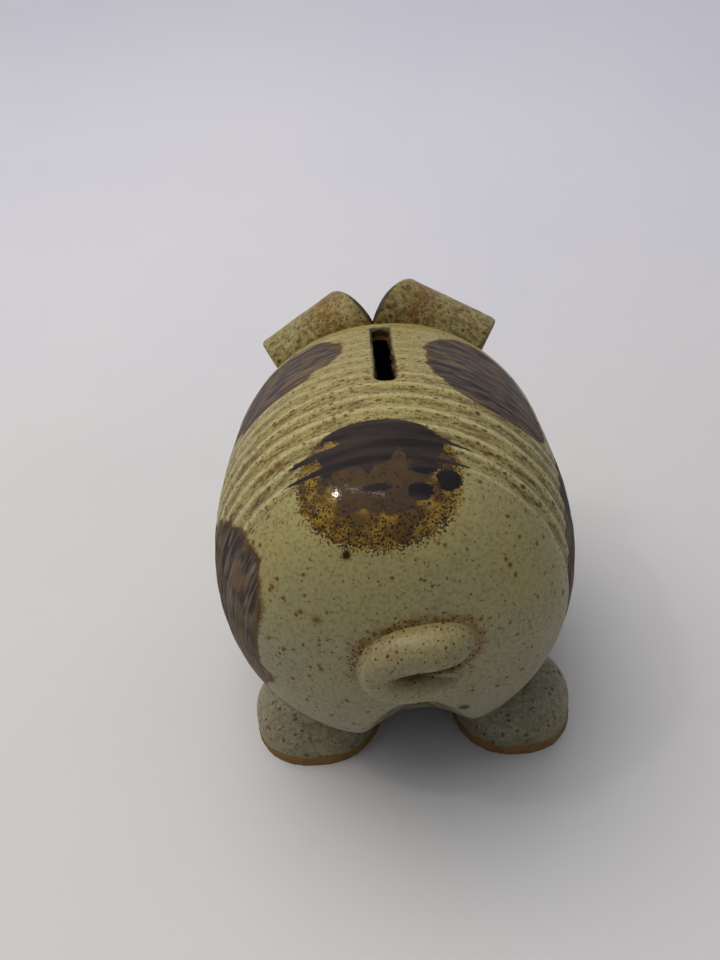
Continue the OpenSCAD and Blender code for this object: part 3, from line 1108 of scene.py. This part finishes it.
def edge_of(tree, distance, raw, amount, soft):
    """A mask that turns on across the edge, which raw noise moves by up to about half of amount."""
    centred = add(tree, "Math", {0: raw, 1: 0.5}, operation="SUBTRACT")
    moved = add(tree, "Math", {0: centred, 1: amount, 2: distance}, operation="MULTIPLY_ADD")
    return add(tree, "MapRange", {"Value": moved, "From Min": -soft, "From Max": soft})


# %% Iron over the glaze
def lay_iron(tree, place, ground, roughness):
    """Lays the brushed patches and the rump's splash on; returns colour, roughness and the glassy part."""
    along_rings = add(tree, "Mapping", {"Vector": place, "Scale": (0.1, 1, 0.1)})
    rings = ragged(tree, along_rings, 4, 0.6)
    threads, broad_threads, fine, cloud, lobe, grain = [
        add(tree, "TexNoise", {"Vector": where, "Scale": scale_of(width), "Detail": detail})
        for where, width, detail in ((rings, 0.75, 4.0), (along_rings, 3.2, 3.0), (place, 0.6, 3.0),
                                     (place, 7, 3.0), (place, 3.4, 2.0), (place, 0.55, 2.0))]

    distance = painted_distance(tree, "iron_brush", SPLASH_REACH)
    frayed = add(tree, "Math", {0: fine, 1: 0.3, 2: broad_threads}, operation="MULTIPLY_ADD")
    frayed = add(tree, "Math", {0: frayed, 1: 0.15}, operation="SUBTRACT")
    brushed = edge_of(tree, distance, frayed, 4.5, 0.35)
    pale = add(tree, "MapRange", {"Value": threads, "From Min": 0.48, "From Max": 0.72})
    iron = lay_over(tree, IRON_GREY, IRON_PALE, pale)
    lower = by_height(tree, place, 20, -30)
    warm = add(tree, "Math", {0: lower, 1: 0.22, 2: cloud}, operation="MULTIPLY_ADD")
    warm = add(tree, "MapRange", {"Value": warm, "From Min": 0.5, "From Max": 0.68})
    iron = lay_over(tree, iron, IRON_BROWN, warm, 0.75)
    inside = add(tree, "Math", {0: distance, 1: 0.8}, operation="SUBTRACT")
    iron = lay_over(tree, IRON_RIM, iron, edge_of(tree, inside, frayed, 4.5, 0.7))
    colour = lay_over(tree, ground, iron, brushed)
    gloss = lay_over(tree, roughness, 0.58, brushed, kind="FLOAT")

    distance = painted_distance(tree, "iron_splash", SPLASH_REACH)
    low = by_height(tree, place, 43, 33)
    spread = add(tree, "Math", {0: low, 1: 8.0, 2: 1.0}, operation="MULTIPLY_ADD")
    splashed = edge_of(tree, distance, grain, spread, 0.3)
    pool = lay_over(tree, GOLD, GOLD_DEEP, clouds(tree, place, 4.5, 3.0, 0.4, 0.58))
    lobes = add(tree, "Math", {0: lobe, 1: 11.0, 2: -5.5}, operation="MULTIPLY_ADD")
    lobes = add(tree, "Math", {0: distance, 1: lobes}, operation="ADD")
    lobes = add(tree, "Math", {0: low, 1: -5.5, 2: lobes}, operation="MULTIPLY_ADD")
    heart = add(tree, "MapRange", {"Value": lobes, "From Min": 4.0, "From Max": 5.4})
    pool = lay_over(tree, pool, POOL_BROWN, heart, 0.92)
    crystal_span = {"From Min": 9, "From Max": 2.5, "To Min": 0.15, "To Max": 0.95}
    crystal_share = add(tree, "MapRange", {"Value": distance, **crystal_span})
    crystals = freckles(tree, ragged(tree, place, 0.6, 0.4), 0.5, 0.24, crystal_share)
    pool = lay_over(tree, pool, IRON_BLACK, crystals)
    glassy = add(tree, "MapRange", {"Value": crystals, "To Min": 0.1, "To Max": 0.3})
    colour = lay_over(tree, colour, pool, splashed)
    gloss = lay_over(tree, gloss, glassy, splashed, kind="FLOAT")

    distance = painted_distance(tree, "iron_pool", POOL_REACH)
    wander = add(tree, "Math", {0: fine, 1: 0.5, 2: threads}, operation="MULTIPLY_ADD")
    wander = add(tree, "Math", {0: wander, 1: 0.25}, operation="SUBTRACT")
    dark = edge_of(tree, distance, wander, 1.8, 0.18)
    sheen = add(tree, "MapRange", {"Value": broad_threads, "From Min": 0.4, "From Max": 0.62})
    colour = lay_over(tree, colour, lay_over(tree, IRON_BLACK, IRON_PURPLE, sheen), dark)
    gloss = lay_over(tree, gloss, 0.5, dark, kind="FLOAT")
    return colour, gloss, splashed


# %% The whole glaze
def glaze_finish(name, brushed=False, bare_below=None):
    """Oatmeal glaze, with brushed iron, or with a bare clay rim below a height in millimetres."""
    finish, tree, place = start_finish(name)
    colour, pits = glaze_ground(tree, place)
    roughness = clouds(tree, place, 11, 3.0, 0.3, 0.7, 0.34, 0.52)
    surface = skin_bump(tree, place, pits)
    if brushed:
        colour, roughness, glassy = lay_iron(tree, place, colour, roughness)
        flat = add(tree, "MapRange", {"Value": glassy, "To Min": 1.0, "To Max": 0.7})
        surface = add(tree, "Math", {0: surface, 1: flat}, operation="MULTIPLY")
    if bare_below is not None:
        height = add(tree, "SeparateXYZ", {"Vector": place}, want="Z")
        drip = clouds(tree, place, 6, 3.0, 0, 1, -0.5, 0.5)
        height = add(tree, "Math", {0: drip, 1: -3.0 * MM, 2: height}, operation="MULTIPLY_ADD")
        rim = {"From Min": (bare_below - 0.2) * MM, "From Max": (bare_below + 0.2) * MM}
        dipped = add(tree, "MapRange", {"Value": height, **rim})
        clay, tooth = bare_clay(tree, place)
        colour = lay_over(tree, clay, colour, dipped)
        roughness = lay_over(tree, 0.85, roughness, dipped, kind="FLOAT")
        surface = lay_over(tree, tooth, surface, dipped, kind="FLOAT")
    end_finish(tree, colour, roughness, surface, 0.6, 0.12)
    return finish


# %% [markdown]
# ## Bare clay, dark slip and cork
#
# The rims of the feet and the inside of the pot were never glazed. They show fired stoneware: dry,
# tan and gritty. The eyes are a darker clay under the same glaze, which fires to a glossy
# brown-black. The bung is natural cork: pale, matt bark with darker grain and pits.

# %% Bare clay, eyes and cork
CLAY, CLAY_DARK = "#9a7a4a", "#7a5a30"
EYE_BLACK, EYE_BROWN = "#241a17", "#4a3424"
CORK_PALE, CORK_DARK, CORK_PIT = "#c79c68", "#9a6c3e", "#4f3320"


def bare_clay(tree, place):
    """Fired stoneware's colour and its gritty surface."""
    cloud, tooth = [
        add(tree, "TexNoise", {"Vector": place, "Scale": scale_of(width), "Detail": 3.0})
        for width in (5, 0.45)]
    colour = lay_over(tree, CLAY, CLAY_DARK, cloud)
    return lay_over(tree, colour, FRECKLE, freckles(tree, place, 1.1, 0.22, 0.4)), tooth


inside_clay, tree, place = start_finish("bare_stoneware_inside")
colour, tooth = bare_clay(tree, place)
end_finish(tree, colour, 0.88, tooth, 0.8, 0.2)

eye_glaze, tree, place = start_finish("iron_brown_glaze")
colour = lay_over(tree, EYE_BLACK, EYE_BROWN, clouds(tree, place, 1.6, 3.0, 0.4, 0.65))
ripple = add(tree, "TexNoise", {"Vector": place, "Scale": scale_of(1.2), "Detail": 3.0})
end_finish(tree, colour, 0.2, ripple, 0.5, 0.1)

cork_bark, tree, place = start_finish("natural_cork")
upright = add(tree, "Mapping", {"Vector": place, "Scale": (1, 1, 0.3)})
grain = add(tree, "TexNoise", {"Vector": upright, "Scale": scale_of(1.4), "Detail": 4.0})
bark = freckles(tree, ragged(tree, place, 1, 0.8), 2.4, 0.5, 0.5)
colour = lay_over(tree, lay_over(tree, CORK_PALE, CORK_DARK, grain), CORK_PIT, bark)
height = add(tree, "Math", {0: bark, 1: -0.8, 2: grain}, operation="MULTIPLY_ADD")
end_finish(tree, colour, 0.8, height, 0.8, 0.25)

iron_glaze = glaze_finish("oatmeal_glaze_with_brushed_iron", brushed=True)
plain_glaze = glaze_finish("oatmeal_glaze_on_stoneware")
foot_glaze = glaze_finish("oatmeal_glaze_with_bare_foot_rim", bare_below=3.8)
print("finishes:", ", ".join(finish.name for finish in (iron_glaze, inside_clay, eye_glaze, cork_bark)))

# %% [markdown]
# ## Dress the pieces
#
# Each piece gets its finish, rides on its body and takes the place of its plain node. The pot needs a
# second finish inside: a face belongs to the bare inside when it lies well below the outer skin.

# %% Dress the pieces and hang them on their bodies
GLAZED_DEPTH, GLAZED_DEPTH_IN_DENT = 3.4 * MM, 3.2 * MM
wear(pot, iron_glaze)
pot.data.materials.append(inside_clay)
centres = face_centres(pot)
side, along, up, turn = pot_measures(centres)
skin_along, skin_radius = pot_outline(GLAZED_DEPTH, 0.5 * MM)
radius = np.hypot(side, up) * MM
deep_inside = (radius < np.interp(along * MM, skin_along, skin_radius)) & (along * MM < skin_along[-1])
deep_inside &= along * MM > skin_along[0]
depth, across, down, bowl = dent_measures(centres)
deep_inside &= depth >= bowl + GLAZED_DEPTH_IN_DENT
pot.data.polygons.foreach_set("material_index", deep_inside.astype(np.int32))
pot.data.update()

pieces = [
    (pot, "body", None), (snout, "snout", plain_glaze), (ear_left, "ear_left", plain_glaze),
    (ear_right, "ear_right", plain_glaze), (tail, "tail", plain_glaze),
    (eye_left, "eye_left", eye_glaze), (eye_right, "eye_right", eye_glaze),
]
for piece, node, finish in pieces:
    if finish is not None:
        wear(piece, finish)
    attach(piece, "bank")
    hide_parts(node)
for foot in feet:
    wear(foot, foot_glaze)
    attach(foot, "bank")
    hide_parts(foot["node"])
wear(cork, cork_bark)
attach(cork, "stopper")
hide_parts("stopper")
print("dressed:", len(pieces) + len(feet) + 1, "pieces")

# %% [markdown]
# ## Table, light and camera
#
# The bank stands on a pale board that sweeps up close behind it. A broad soft light hangs overhead, so
# the shadow gathers under the pig, and the room is bright above and dim low down. The soft light would
# veil the dark iron with its reflection, so it is kept out of the gloss. A small lamp and a thin strip
# put the crisp glints in the glossy pool. The camera looks down on the tail from close by.

# %% Table
TABLE_WIDTH, TABLE_LENGTH, TABLE_MIDDLE = 5, 2.3, 0.9
bpy.ops.mesh.primitive_plane_add(size=1, location=(0, TABLE_MIDDLE, 0))
table = named("table")
table.scale = (TABLE_WIDTH, TABLE_LENGTH, 1)
settle(table)
corners = points_of(table)
at_back = corners[:, 1] < corners[:, 1].min() + 1 * MM
pick(table, "EDGE", [at_back[edge.vertices[0]] and at_back[edge.vertices[1]] for edge in table.data.edges])
SWEEP_R, SWEEP_STEPS, SWEEP_RISE = 0.28, 12, 0.6
run = SWEEP_R * math.pi / 2 / SWEEP_STEPS
for step in range(SWEEP_STEPS):
    angle = (step + 0.5) * math.pi / 2 / SWEEP_STEPS
    bpy.ops.mesh.extrude_edges_move(
        TRANSFORM_OT_translate={"value": (0, -run * math.cos(angle), run * math.sin(angle))})
bpy.ops.mesh.extrude_edges_move(TRANSFORM_OT_translate={"value": (0, 0, SWEEP_RISE)})
close_edit(face_out=True)
choose(table)
bpy.ops.object.shade_smooth()
BOARD_COOL, BOARD_WARM = "#c9c9cb", "#d1cfcb"
board, tree, place = start_finish("pale_painted_board")
cloud = add(tree, "TexNoise", {"Vector": place, "Scale": scale_of(180), "Detail": 3.0})
end_finish(tree, lay_over(tree, BOARD_COOL, BOARD_WARM, cloud), 0.55)
table.data.materials.append(board)

# %% Light
def hang_light(name, place, size, power, colour):
    """Hangs an area light, width by depth, aimed at the pot."""
    bpy.ops.object.light_add(type="AREA", location=place)
    light = bpy.context.object
    light.name = name
    light.data.shape = "RECTANGLE"
    light.data.size, light.data.size_y = size
    light.data.energy = power
    light.data.color = linear(colour)[:3]
    aim = Vector((0, 0, AXIS_Z)) - Vector(place)
    light.rotation_euler = aim.to_track_quat("-Z", "Y").to_euler()
    return light


softbox = hang_light("overhead_softbox", (0.52, -0.08, 1.46), (1.6, 1.6), 16, "#fffaf0")
softbox.visible_glossy = False
hang_light("small_lamp", (0.56, 0.24, 1.05), (0.05, 0.05), 0.5, "#ffffff")
glint = hang_light("glint_strip", (0.2, 0.33, 1.1), (0.5, 0.02), 0.2, "#ffffff")
glint.visible_diffuse = False
wash = hang_light("backdrop_wash", (0, 0.1, 0.8), (1.4, 0.2), 0.95, "#dfdeff")
wash.visible_glossy = False
wash.data.spread = math.radians(70)
wash.rotation_euler = (math.radians(-52), 0, 0)

# %% Room light
world = bpy.data.worlds.new("room")
bpy.context.scene.world = world
world.use_nodes = True
tree = world.node_tree
ray_height = add(tree, "SeparateXYZ", {"Vector": add(tree, "TexCoord", want="Generated")}, want="Z")
brightness = add(tree, "MapRange", {"Value": ray_height, "From Max": 0.9, "To Min": 0.06, "To Max": 0.55})
background = tree.nodes["Background"]
background.inputs["Color"].default_value = linear("#e6eaf6")
tree.links.new(brightness, background.inputs["Strength"])
bpy.context.scene.view_settings.view_transform = "Standard"
bpy.context.scene.view_settings.look = "Medium High Contrast"

# %% Camera
EYE = Vector((-0.0026, 0.2050, 0.1840))
LOOK_AT = Vector((0.0080, 0.0229, 0.0800))
ROLL = math.radians(-6.0)
LENS, SENSOR_WIDTH = 27, 36
bpy.ops.object.camera_add(location=EYE)
camera = bpy.context.object
camera.data.lens = LENS
camera.data.sensor_width = SENSOR_WIDTH
camera.data.clip_start = 0.01
camera.rotation_mode = "QUATERNION"
aim = (LOOK_AT - EYE).to_track_quat("-Z", "Y").to_matrix()
camera.rotation_quaternion = (aim @ Matrix.Rotation(ROLL, 3, "Z")).to_quaternion()
bpy.context.scene.camera = camera
print("camera right:", [round(v, 4) for v in camera.rotation_quaternion.to_matrix().col[0]])
